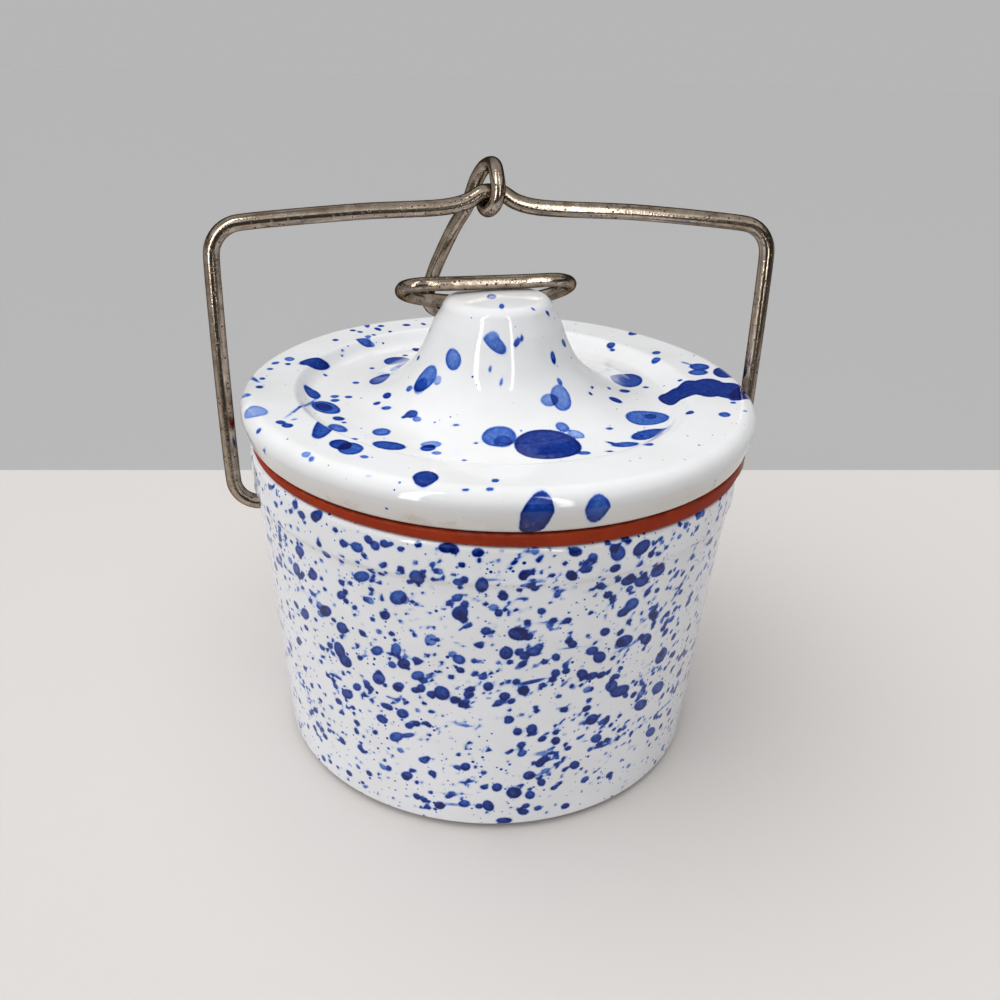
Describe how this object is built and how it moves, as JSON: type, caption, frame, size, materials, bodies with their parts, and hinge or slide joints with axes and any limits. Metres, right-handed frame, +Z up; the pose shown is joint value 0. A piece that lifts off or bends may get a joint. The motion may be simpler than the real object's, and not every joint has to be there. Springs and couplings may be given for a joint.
{
  "type": "stoneware crock",
  "caption": "Round glazed stoneware crock with a knobbed lid on a rubber gasket, held shut by a wire bail and a wire clamp across the knob.",
  "frame": {"origin": "centre of the underside of the crock's base", "axes": "+Z up along the crock's axis, X along the line between the bail's two pivots, -Y to the front, towards which the bail swings down"},
  "size_m": [0.141, 0.13, 0.1519],
  "materials": {
    "stoneware_glaze": "glossy",
    "red_rubber": "matte",
    "steel_wire": "satin, lightly tarnished"
  },
  "bodies": {
    "crock": {"crock": "stoneware_glaze"},
    "lid": {"lid": "stoneware_glaze", "gasket": "red_rubber"},
    "bail": {"bail": "steel_wire"},
    "clamp": {"clamp": "steel_wire"}
  },
  "joints": [
    {"name": "bail_swing", "type": "hinge", "parent": "crock", "child": "bail", "pos_m": [0, 0, 0.0657], "axis": [1, 0, 0], "range_deg": [0, 115]},
    {"name": "clamp_swing", "type": "hinge", "parent": "bail", "child": "clamp", "pos_m": [-0.0025, 0.00219, 0.14397], "axis": [1, 0, 0], "range_deg": [0, 140.4]},
    {"name": "lid_lift", "type": "slide", "parent": "crock", "child": "lid", "axis": [0, 0, 1], "range_m": [0, 0.00505]}
  ],
  "couplings": [
    {"joint": "clamp_swing", "follows": "bail_swing", "ratio": 1.22},
    {"joint": "lid_lift", "follows": "bail_swing", "m_per_rad": 0.0025}
  ]
}
